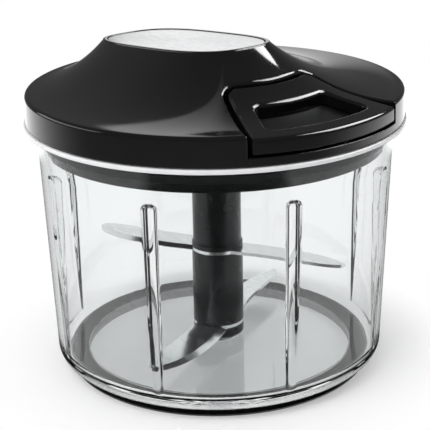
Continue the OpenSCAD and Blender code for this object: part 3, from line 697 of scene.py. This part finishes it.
# The room inside the lid's shell
def dome_room(name):
    roof = PLATE_T + PLATE_SINK + LID_WALL
    rings = []
    for k in range(ROOM_ROWS + 1):
        w = (k / ROOM_ROWS) ** ROW_POWER
        drop = LID_WALL + (roof - LID_WALL) * (1 - w) ** ROOF_POWER
        rings.append(lambda t, w=w, drop=drop: dome_point(w, t, LID_WALL, drop))
    inner_r = LID_R - LID_WALL
    rings.append(lambda t: level_point(inner_r, BRIM_Z - LID_WALL - BRIM_EDGE_R, t))
    rings.append(lambda t: level_point(inner_r, CUT_LOW_Z, t))
    top = [sum(v) / 2 for v in zip(rings[0](0), rings[0](math.pi))]

    def place(i, j):
        if j == 0:
            return top
        if j == len(rings) + 1:
            return 0, 0, CUT_LOW_Z
        return rings[j - 1](2 * math.pi * (i % ROOM_COLS) / ROOM_COLS)

    return formed(name, ROOM_COLS, len(rings) + 1, place)


# Half width of the handle at distance s from the axis, grown by g
def handle_w(s, g):
    return HANDLE_AXIS_W + HANDLE_SPREAD * s + g / math.cos(SPREAD)


# Centre of a fillet of radius r beside the handle's side, at distance d from the axis
def corner_centre(r, d, g):
    k = HANDLE_SPREAD
    a = handle_w(0, g) - r / math.cos(SPREAD)
    s = (math.sqrt(a * a * k * k - (1 + k * k) * (a * a - d * d)) - a * k) / (1 + k * k)
    return a + k * s, s


# The right half of a plan with its mirror image, whose last points may be left out
def mirrored(right, end=None):
    return right + [(-x, s) for x, s in reversed(right[1:end])]


# Plan of the handle, grown by g
def handle_plan(g):
    r = HANDLE_CORNER_R + g
    cx, cs = corner_centre(r, HANDLE_BACK_R - g + r, g)
    turn = math.degrees(math.atan2(cs, cx))
    right = arc(0, 0, HANDLE_BACK_R - g, 90, turn, 16)[:-1]
    right += arc(cx, cs, r, turn - 180, -math.degrees(SPREAD), 10)
    right += [(handle_w(s, g), s) for s in (*HANDLE_SIDE_STEPS, PLAN_END)]
    return mirrored(right)


# Plan of the finger opening, with rounded corners, grown by g
def window_plan(g):
    r = WINDOW_CORNER_R + g
    bx, bs = corner_centre(r, WINDOW_BACK_R - g + r, g - SIDE_BAR)
    fx, fs = corner_centre(r, WINDOW_FRONT_R + g - r, g - SIDE_BAR)
    back = math.degrees(math.atan2(bs, bx))
    front = math.degrees(math.atan2(fs, fx))
    side = -math.degrees(SPREAD)
    right = arc(0, 0, WINDOW_BACK_R - g, 90, back, 16)[:-1]
    right += arc(bx, bs, r, back - 180, side, 8)
    right += arc(fx, fs, r, side, front, 8)
    right += arc(0, 0, WINDOW_FRONT_R + g, front, 90, 18)[1:]
    return mirrored(right, -1)


# Height of the dome over a point of the plan
def dome_z(dome, x, s):
    reach = min(1, DOME_END_R / math.hypot(x, s))
    above = Vector((x * reach, -s * reach, CUT_TOP_Z)) * MM
    return dome.ray_cast(above, (0, 0, -1))[1].z / MM


# An upright prism whose edge rolls outwards (flare 1) or inwards (flare -1) where it meets the dome
def rolled_prism(name, dome, plan_of, roll, flare):
    turns = [math.radians(a) for a in (0, 15, 30, 45, 60, 75)]
    plans = [plan_of(flare * roll * (1 - math.cos(a))) for a in turns]
    rings = [[(x, s, PLUG_Z) for x, s in plans[0]]]
    for a, plan in zip(turns, plans):
        rings.append([(x, s, dome_z(dome, x, s) - roll * (1 - math.sin(a))) for x, s in plan])
    rings.append([(x, s, CUT_TOP_Z) for x, s in plans[-1]])
    count = len(plans[0])
    middle = sum(p[1] for p in plans[0]) / count

    def place(i, j):
        if j in (0, len(rings) + 1):
            return 0, -middle, PLUG_Z if j == 0 else CUT_TOP_Z
        x, s, z = rings[j - 1][i % count]
        return x, -s, z

    return formed(name, count, len(rings) + 1, place)


# Everything below the recess's floor, raised by z, and by ledge_z over the front ledge
def below_recess(name, z, ledge_z=None):
    ledge = LEDGE_Z + (z if ledge_z is None else ledge_z)
    outline = [
        (0, PLUG_Z),
        (CUT_R, PLUG_Z),
        (CUT_R, ledge),
        (WINDOW_FRONT_R, ledge),
        (RAMP_END_R, RAMP_Z + z),
        (SHELF_END_R + RAMP_RING, SHELF_Z - RAMP_RING * RAMP_FALL + z),
        (SHELF_END_R, SHELF_Z + z),
        (0, SHELF_Z + z),
    ]
    return turned(name, outline, cols=160)


# The walls round the room that the handle parks in
def recess_walls():
    walls = prism("recess_walls", handle_plan(HANDLE_GAP + RECESS_WALL), PLUG_Z, CUT_TOP_Z)
    cut(walls, below_recess("recess_floor", -RECESS_WALL))
    return walls


# The room that the handle parks in
def recess_room(dome):
    room = rolled_prism("recess", dome, lambda g: handle_plan(HANDLE_GAP + g), RECESS_ROLL, 1)
    cut(room, below_recess("recess_floor", 0))
    return room


# Lid shell: dome with the plate's pocket, hollow below, with the handle's recess
def make_cover():
    cover = dome_solid("lid_shell", True)
    recess = recess_room(cover)
    room = dome_room("lid_room")
    cut(room, recess_walls())
    cut(cover, room)
    cut(cover, recess)
    cut(cover, rod("eyelet_hole", EYELET_HOLE_R, EYELET_S - EYELET_HOLE_L, EYELET_S))
    return cover


# Gives the floor under the finger opening its grain
def grain_recess(cover):
    cover.data.materials.append(RECESS_ABS)
    low_z = RAMP_Z - 1
    for face in cover.data.polygons:
        r = math.hypot(face.center.x, face.center.y) / MM
        z = face.center.z / MM
        upward = face.normal.z > 0.5
        if upward and SHELF_END_R < r < WINDOW_FRONT_R and low_z < z < SHELF_Z:
            face.material_index = 1


# Handle: the dome's own surface over the recess, with a finger opening
def make_handle():
    handle = dome_solid("finger_handle", False, HANDLE_FALL)
    outside = rolled_prism("handle_outside", handle, handle_plan, HANDLE_ROLL, -1)
    opening = rolled_prism("finger_opening", handle, window_plan, WINDOW_ROLL, 1)
    cut(handle, outside, "INTERSECT")
    cut(handle, below_recess("handle_under", HANDLE_LIFT, LEDGE_GAP))
    cut(handle, opening)
    cut(handle, rod("cord_hole", CORD_HOLE_R, CORD_HOLE_S, KNOT_S))
    room = [(0, PLUG_Z), (KNOT_ROOM_R, PLUG_Z), (KNOT_ROOM_R, KNOT_ROOM_TOP_Z), (0, KNOT_ROOM_TOP_Z)]
    cut(handle, turned("knot_room", room, cols=32, at=(0, -KNOT_S)))
    return handle


# Steel plate on the tilted platform, with a rolled edge
def make_plate():
    edge_drop = PLATE_SINK + SMALL_EDGE
    bottom = PLATE_T + PLATE_SINK
    steps = [(0.0, bottom), (0.0, edge_drop)]
    steps += [(SMALL_EDGE - x, edge_drop - y) for x, y in arc(0, 0, SMALL_EDGE, 30, 90, 3)]
    steps += [(inset, PLATE_SINK) for inset in PLATE_RINGS]

    def place(i, j):
        t = 2 * math.pi * (i % DOME_COLS) / DOME_COLS
        if j in (0, len(steps) + 1):
            drop = bottom if j == 0 else PLATE_SINK
            return 0, -PLAT_S, PLAT_Z - drop
        inset, drop = steps[j - 1]
        return dome_point(0, t, PLATE_RIM + inset, drop)

    return formed("steel_palm_plate", DOME_COLS, len(steps) + 1, place)


# Plug under the lid, with its seal groove
def make_plug():
    outline = [
        (BUSH_BORE_R, PLUG_Z),
        (PLUG_RING_R, PLUG_Z),
        (PLUG_R - ROUND_EDGE, PLUG_Z),
        (PLUG_R - EDGE_MIDDLE * ROUND_EDGE, PLUG_Z + EDGE_MIDDLE * ROUND_EDGE),
        (PLUG_R, PLUG_Z + ROUND_EDGE),
        (PLUG_R, SEAL_Z - FIT),
        (PLUG_R - GROOVE_D, SEAL_Z - FIT),
        (PLUG_R - GROOVE_D, SEAL_Z + SEAL_H + FIT),
        (PLUG_R, SEAL_Z + SEAL_H + FIT),
        (PLUG_R, COVER_Z),
        (FLANGE_R, COVER_Z),
        (FLANGE_R, FLANGE_TOP_Z),
        (PLUG_IN_R, FLANGE_TOP_Z),
        (PLUG_IN_R, PLUG_FLOOR_Z),
        (BUSH_WALL_R, PLUG_FLOOR_Z),
        (BUSH_WALL_R, BUSH_TOP_Z),
        (BUSH_BORE_R, BUSH_TOP_Z),
        (BUSH_BORE_R, PLUG_Z),
    ]
    plug = turned("lid_plug", outline, cols=144)
    seat_z = WELL_TOP_Z + WELL_SEAT_H
    well = [
        (0, WELL_LOW_Z),
        (WELL_R, WELL_LOW_Z),
        (WELL_R, WELL_TOP_Z),
        (WELL_R + WELL_SEAT_W, WELL_TOP_Z),
        (WELL_R + WELL_SEAT_W, seat_z),
        (SCREW_HOLE_R, seat_z),
        (SCREW_HOLE_R, SCREW_HOLE_TOP_Z),
        (0, SCREW_HOLE_TOP_Z),
    ]
    for turn in (45, 135, 225, 315):
        a = math.radians(turn)
        middle = (SCREW_CIRCLE_R * math.cos(a), SCREW_CIRCLE_R * math.sin(a))
        cut(plug, turned("screw_well", well, cols=32, at=middle))
    return plug


def make_seal():
    inner_r = PLUG_R - GROOVE_D + FIT
    round_r = bowl_inner_r(SEAL_Z) - SEAL_GAP - ROUND_EDGE
    outline = (
        [(inner_r, SEAL_Z)]
        + arc(round_r, SEAL_Z + ROUND_EDGE, ROUND_EDGE, -90, 0, 4)
        + arc(round_r, SEAL_Z + SEAL_H - ROUND_EDGE, ROUND_EDGE, 0, 90, 4)
        + [(inner_r, SEAL_Z + SEAL_H), (inner_r, SEAL_Z)]
    )
    return turned("lid_seal_ring", outline, cols=144)


def make_stem():
    collar = UPPER_BLADE_Z + BLADE_T
    socket_z = STEM_TOP_Z - SOCKET_L
    outline = (
        [(PIN_BORE_R, CORE_Z), (CORE_R, CORE_Z), (CORE_R, collar)]
        + [(HUB_R - SMALL_EDGE, collar), (HUB_R, collar + SMALL_EDGE)]
        + [(HUB_R, collar + COLLAR_H - ROUND_EDGE), (STEM_R, collar + COLLAR_H)]
        + arc(STEM_R - ROUND_EDGE, STEM_TOP_Z - ROUND_EDGE, ROUND_EDGE, 0, 90, 4)
        + [(SOCKET_R, STEM_TOP_Z), (SOCKET_R, socket_z), (0, socket_z)]
    )
    return turned("blade_column", outline, cols=96)


def make_spacer():
    z0, z1 = LOWER_BLADE_Z + BLADE_T, UPPER_BLADE_Z
    outline = [
        (HUB_BORE_R, z0),
        (HUB_R - SMALL_EDGE, z0),
        (HUB_R, z0 + SMALL_EDGE),
        (HUB_R, z1 - SMALL_EDGE),
        (HUB_R - SMALL_EDGE, z1),
        (HUB_BORE_R, z1),
        (HUB_BORE_R, z0),
    ]
    return turned("blade_hub", outline, cols=96)


def make_foot_cap():
    outline = (
        [(PIN_BORE_R, TOWER_Z)]
        + arc(HUB_R - ROUND_EDGE, TOWER_Z + ROUND_EDGE, ROUND_EDGE, -90, 0, 4)
        + [(HUB_R, LOWER_BLADE_Z), (HUB_BORE_R, LOWER_BLADE_Z), (HUB_BORE_R, CORE_Z)]
        + [(PIN_BORE_R, CORE_Z), (PIN_BORE_R, TOWER_Z)]
    )
    return turned("blade_end_cap", outline, cols=96)


# A sabre arm, turned from +X: flat at its root, then pitched, with a ground leading edge
def make_arm(name, z, turn, pitch):
    def section(q):
        r = ARM_ROOT_R + (BLADE_REACH - ARM_ROOT_R) * q
        u = min(1, max(0, (r - ARM_FLAT_R) / (ARM_TWIST_END_R - ARM_FLAT_R)))
        tilt = math.radians(pitch * u * u * (3 - 2 * u))
        half = max(ARM_TIP_HALF, BLADE_W / 2 * math.sqrt(1 - q**ARM_TIP_POWER))
        middle = -ARM_SWEEP * q * q
        lead, trail = middle + half, middle - half
        bevel = min(BLADE_BEVEL, half)
        outline = [(lead, 0), (lead, EDGE_LAND), (lead - bevel, BLADE_T), (trail, BLADE_T), (trail, 0)]
        points = []
        for across, up in outline:
            up -= BLADE_T / 2
            y = across * math.cos(tilt) + up * math.sin(tilt)
            points.append((r, y, z + BLADE_T / 2 + up * math.cos(tilt) - across * math.sin(tilt)))
        return points

    shares = [1 - (1 - k / ARM_STATIONS) ** STATION_POWER for k in range(ARM_STATIONS + 1)]
    rings = [section(share) for share in shares]
    cols = len(rings[0])
    c, s = math.cos(math.radians(turn)), math.sin(math.radians(turn))

    def place(i, j):
        if j in (0, ARM_STATIONS + 2):
            ring = rings[0 if j == 0 else -1]
            x, y, height = [sum(v) / cols for v in zip(*ring)]
        else:
            x, y, height = rings[j - 1][i % cols]
        return c * x - s * y, s * x + c * y, height

    return formed(name, cols, ARM_STATIONS + 2, place)


def make_blade(name, z, turn, pitch):
    top_z = z + BLADE_T
    hub = [(HUB_BORE_R, z), (HUB_R, z), (HUB_R, top_z), (HUB_BORE_R, top_z), (HUB_BORE_R, z)]
    blade = turned(name, hub, cols=64)
    for half_turn in (0, 180):
        cut(blade, make_arm("arm", z, turn + half_turn, pitch), "UNION")
    return blade


# The pull cord between eyelet and knot, which draws out with the handle
def make_pull_cord():
    start, end = EYELET_S - EYELET_TUCK, KNOT_S - KNOT_TUCK
    cols, rows = 12, 24

    def place(i, j):
        a = 2 * math.pi * i / cols
        k = min(max(j - 1, 0), rows)
        r = CORD_R if 0 < j < rows + 2 else 0
        return r * math.cos(a), -(start + (end - start) * k / rows), CORD_Z + r * math.sin(a)

    cord = formed("pull_cord", cols, rows + 2, place)
    dress(cord, CORD, None, ["cord_lead"], weighted=False)
    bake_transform(cord)


bowl = dress(make_bowl(), BOWL_SAN, "bowl", ["bowl"], weighted=False)
frost_rim_and_paint_light(bowl)
dress(make_foot_ring(), RUBBER, "bowl", ["foot_ring"])
cover = dress(make_cover(), COVER_ABS, "lid", ["lid_cover"])
grain_recess(cover)
dress(make_plate(), PLATE_STEEL, "lid", ["top_plate"])
dress(make_plug(), PLUG_ABS, "lid", ["lid_base"])
dress(make_seal(), RUBBER, "lid", ["lid_seal"])
dress(make_handle(), COVER_ABS, "handle", ["pull_handle"])
dress(make_stem(), PLUG_ABS, "tower", ["blade_stem"])
dress(make_spacer(), PLUG_ABS, "tower", ["blade_spacer"])
dress(make_foot_cap(), PLUG_ABS, "tower", ["blade_foot"])
upper = make_blade("upper_chopping_blade", UPPER_BLADE_Z, BLADE_TURN, UPPER_PITCH)
dress(upper, BLADE_STEEL, "tower", ["upper_blade"], angle=BLADE_SHARP_ANGLE)
lower = make_blade("lower_chopping_blade", LOWER_BLADE_Z, BLADE_TURN + 90, LOWER_PITCH)
dress(lower, BLADE_STEEL, "tower", ["lower_blade"], angle=BLADE_SHARP_ANGLE)
make_pull_cord()

# The inner works keep their solids and take their finishes
FINISHES = {
    "bowl_pin": BLADE_STEEL,
    "lid_screws": BLADE_STEEL,
    "reel_axle": BLADE_STEEL,
    "drive_bush": BRASS,
    "cord_eyelet": BRASS,
    "cord_feed": CORD,
    "cord_knot": CORD,
    "wound_cord": CORD,
    "knot_cover": COVER_ABS,
    "cord_reel": NYLON,
    "spring_cover": NYLON,
    "mainspring": BLADE_STEEL,
    "drive_hub": PLUG_ABS,
    "drive_pawls": NYLON,
}
for node_name, material in FINISHES.items():
    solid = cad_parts[node_name]
    solid.data.materials.clear()
    solid.data.materials.append(material)


# Camera at the photograph's place
def set_camera():
    forward = Vector(CAMERA_AIM).normalized()
    level = forward.cross(Vector((0, 0, 1))).normalized()
    upright = level.cross(forward)
    roll = math.radians(CAMERA_ROLL)
    right = math.cos(roll) * level + math.sin(roll) * upright
    up = -math.sin(roll) * level + math.cos(roll) * upright
    data = bpy.data.cameras.new("camera")
    data.sensor_width = SENSOR_W
    data.lens = CAMERA_LENS
    camera = bpy.data.objects.new("camera", data)
    bpy.context.scene.collection.objects.link(camera)
    turn = Matrix((right, up, -forward)).transposed().to_4x4()
    camera.matrix_world = Matrix.Translation(CAMERA_PLACE) @ turn
    bpy.context.scene.camera = camera


# True for rays that show the background, straight or through the bowl
def background_rays(tree):
    path = add(tree, "ShaderNodeLightPath")
    seen = add(
        tree,
        "ShaderNodeMath",
        operation="MAXIMUM",
        links={0: path.outputs["Is Camera Ray"], 1: path.outputs["Is Transmission Ray"]},
    )
    return seen.outputs[0]


def set_world():
    world = bpy.data.worlds.new("studio")
    bpy.context.scene.world = world
    world.use_nodes = True
    tree = world.node_tree
    tree.nodes.clear()
    dim = add(tree, "ShaderNodeBackground", values={"Strength": WORLD_LIGHT, "Color": colour(WHITE)})
    white = add(tree, "ShaderNodeBackground", values={"Strength": 1.0, "Color": colour(WHITE)})
    mix = add(
        tree,
        "ShaderNodeMixShader",
        links={0: background_rays(tree), 1: dim.outputs[0], 2: white.outputs[0]},
    )
    add(tree, "ShaderNodeOutputWorld", links={"Surface": mix.outputs[0]})


# A stage piece that only some kinds of ray see
def stage_piece(name, material, sees):
    piece = bpy.context.object
    piece.name = name
    bpy.ops.object.transform_apply(location=True)
    piece.data.materials.append(material)
    for kind in ("camera", "diffuse", "glossy", "transmission", "shadow"):
        setattr(piece, "visible_" + kind, kind in sees)


# White paper that takes a shadow near the part and fades into the white background
def set_floor():
    material, tree = new_material("pale_studio_floor")
    coords = add(tree, "ShaderNodeTexCoord")
    distance = add(
        tree,
        "ShaderNodeVectorMath",
        operation="LENGTH",
        links={0: coords.outputs["Object"]},
    )
    fade = add(
        tree,
        "ShaderNodeMapRange",
        links={"Value": distance.outputs["Value"]},
        values={"From Min": SHADOW_R, "From Max": SHADOW_END_R, "To Min": SHADOW_GLOW, "To Max": 1.0},
        interpolation_type="SMOOTHSTEP",
    )
    share = add(
        tree,
        "ShaderNodeMath",
        operation="MULTIPLY",
        links={0: background_rays(tree), 1: fade.outputs["Result"]},
    )
    paint = add(tree, "ShaderNodeBsdfDiffuse", values={"Color": colour(WHITE)})
    glow = add(tree, "ShaderNodeEmission", values={"Strength": 1.0, "Color": colour(WHITE)})
    mix = add(
        tree,
        "ShaderNodeMixShader",
        links={0: share.outputs[0], 1: paint.outputs[0], 2: glow.outputs[0]},
    )
    add(tree, "ShaderNodeOutputMaterial", links={"Surface": mix.outputs[0]})
    bpy.ops.mesh.primitive_plane_add(size=FLOOR_SIZE)
    stage_piece("studio_floor", material, ("camera", "diffuse", "transmission", "shadow"))


# A lamp, or a bright card that only mirrored rays see
def area_lamp(name, place, target, size, power, card=False, roll=0):
    data = bpy.data.lights.new(name, "AREA")
    data.shape = "RECTANGLE"
    data.size, data.size_y = size
    data.energy = power
    lamp = bpy.data.objects.new(name, data)
    bpy.context.scene.collection.objects.link(lamp)
    aim = (Vector(target) - Vector(place)).to_track_quat("-Z", "Y")
    spin = Matrix.Rotation(math.radians(roll), 4, "Z")
    lamp.matrix_world = Matrix.Translation(place) @ aim.to_matrix().to_4x4() @ spin
    lamp.visible_camera = False
    lamp.visible_glossy = card
    if card:
        lamp.visible_diffuse = False
        lamp.visible_transmission = False


# A dark disc of painted shade on the floor that only one kind of ray sees, solid to one radius and
# faded out at another
def shade_disc(name, place, solid_r, edge_r, sees="transmission"):
    material, tree = new_material("painted_shade_" + name)
    coords = add(tree, "ShaderNodeTexCoord")
    centred = add(
        tree,
        "ShaderNodeMapping",
        links={"Vector": coords.outputs["Object"]},
        values={"Location": tuple(-v for v in place)},
    )
    distance = add(
        tree,
        "ShaderNodeVectorMath",
        operation="LENGTH",
        links={0: centred.outputs["Vector"]},
    )
    fade = add(
        tree,
        "ShaderNodeMapRange",
        links={"Value": distance.outputs["Value"]},
        values={"From Min": solid_r, "From Max": edge_r},
        interpolation_type="SMOOTHSTEP",
    )
    painted_dark = add(tree, "ShaderNodeBsdfDiffuse", values={"Color": colour("#303030")})
    clear = add(tree, "ShaderNodeBsdfTransparent")
    mix = add(
        tree,
        "ShaderNodeMixShader",
        links={0: fade.outputs["Result"], 1: painted_dark.outputs[0], 2: clear.outputs[0]},
    )
    add(tree, "ShaderNodeOutputMaterial", links={"Surface": mix.outputs[0]})
    bpy.ops.mesh.primitive_circle_add(vertices=64, radius=edge_r, fill_type="NGON", location=place)
    stage_piece(name, material, (sees,))


# What mirrored rays see: dim walls with one bright gap, over a table that is bright near the gap
def studio_walls():
    material, tree = new_material("studio_walls")
    coords = add(tree, "ShaderNodeTexCoord")
    facing = add(
        tree,
        "ShaderNodeMapping",
        links={"Vector": coords.outputs["Object"]},
        values={"Rotation": (0, 0, -math.radians(GAP_AZIMUTH))},
    )
    heading = add(
        tree,
        "ShaderNodeVectorMath",
        operation="NORMALIZE",
        links={0: facing.outputs["Vector"]},
    )
    parts = add(tree, "ShaderNodeSeparateXYZ", links={0: heading.outputs["Vector"]})
    azimuth = add(
        tree,
        "ShaderNodeMath",
        operation="ARCTAN2",
        links={0: parts.outputs["Y"], 1: parts.outputs["X"]},
    )
    shifted = add(
        tree,
        "ShaderNodeMath",
        operation="SUBTRACT",
        links={0: azimuth.outputs[0]},
        values={1: math.radians(TABLE_AZIMUTH - GAP_AZIMUTH)},
    )
    aside = add(tree, "ShaderNodeMath", operation="ABSOLUTE", links={0: shifted.outputs[0]})
    elevation = add(tree, "ShaderNodeMath", operation="ARCSINE", links={0: parts.outputs["Z"]})
    # Upwards, the gap's near side comes in and its light fades. The table dims away from the gap and
    # towards the horizon. Each row has the degrees it runs between and its values there.
    near_side, fade, table, horizon = [
        add(
            tree,
            "ShaderNodeMapRange",
            links={"Value": source.outputs[0]},
            values={
                "From Min": math.radians(low),
                "From Max": math.radians(high),
                "To Min": at_low,
                "To Max": at_high,
            },
            interpolation_type="SMOOTHSTEP",
        ).outputs["Result"]
        for source, low, high, at_low, at_high in (
            (elevation, 16, 23, math.radians(-8.0), math.radians(-0.5)),
            (elevation, 12, 85, 1.0, 0.3),
            (aside, 45, 115, 1.8, 0.22),
            (elevation, -13, -5, 1.0, 0.15),
        )
    ]
    inside = add(
        tree,
        "ShaderNodeMath",
        operation="SUBTRACT",
        links={0: azimuth.outputs[0], 1: near_side},
    )
    # The gap's two sides: the degrees where its light starts and where it is whole
    shine = fade
    for source, dark, bright in ((inside, -2.5, 3.5), (azimuth, 7.8, 6.4)):
        side = add(
            tree,
            "ShaderNodeMapRange",
            links={"Value": source.outputs[0]},
            values={"From Min": math.radians(dark), "From Max": math.radians(bright)},
            interpolation_type="SMOOTHSTEP",
        )
        product = add(
            tree,
            "ShaderNodeMath",
            operation="MULTIPLY",
            links={0: side.outputs["Result"], 1: shine},
        )
        shine = product.outputs[0]
    walls = add(tree, "ShaderNodeMath", operation="MAXIMUM", links={0: shine}, values={1: DIM})
    above = add(
        tree,
        "ShaderNodeMath",
        operation="GREATER_THAN",
        links={0: elevation.outputs[0]},
        values={1: 0.0},
    )
    below = add(tree, "ShaderNodeMath", operation="MULTIPLY", links={0: table, 1: horizon})
    strength = add(
        tree,
        "ShaderNodeMix",
        links={0: above.outputs[0], 2: below.outputs[0], 3: walls.outputs[0]},
    )
    glow = add(tree, "ShaderNodeEmission", links={"Strength": strength.outputs[0]})
    add(tree, "ShaderNodeOutputMaterial", links={"Surface": glow.outputs[0]})
    bpy.ops.mesh.primitive_uv_sphere_add(segments=64, ring_count=32, radius=WALLS_R)
    stage_piece("studio_walls", material, ("glossy",))


set_camera()
set_world()
set_floor()
studio_walls()
# Painted shade: a dark disc in front that only rays through clear parts see, and one under the part
# that only mirrored rays see
shade_disc("front_shade_disc", place=(-0.179, -0.241, 0.002), solid_r=0.19, edge_r=0.235)
shade_disc("table_shade_disc", place=(0, 0, 0.001), solid_r=0.27, edge_r=0.3, sees="glossy")
area_lamp("key_softbox", place=(-0.75, -0.15, 0.9), target=(0, 0, 0.06), size=(0.7, 0.7), power=7)
area_lamp(
    "right_card",
    place=(0.769, -0.313, 0.837),
    target=(0.039, 0.027, 0.107),
    size=(0.92, 0.56),
    power=23,
    card=True,
    roll=-14,
)
area_lamp(
    "left_strip",
    place=(-0.85, 0.85, 0.45),
    target=(0, 0, 0.11),
    size=(1.28, 0.5),
    power=4,
    card=True,
)

scene = bpy.context.scene
scene.view_settings.view_transform = "Standard"
# Light turns many times in the ribs and the thick base before it leaves the clear bowl
scene.cycles.max_bounces = 24
scene.cycles.glossy_bounces = 16
scene.cycles.transmission_bounces = 24
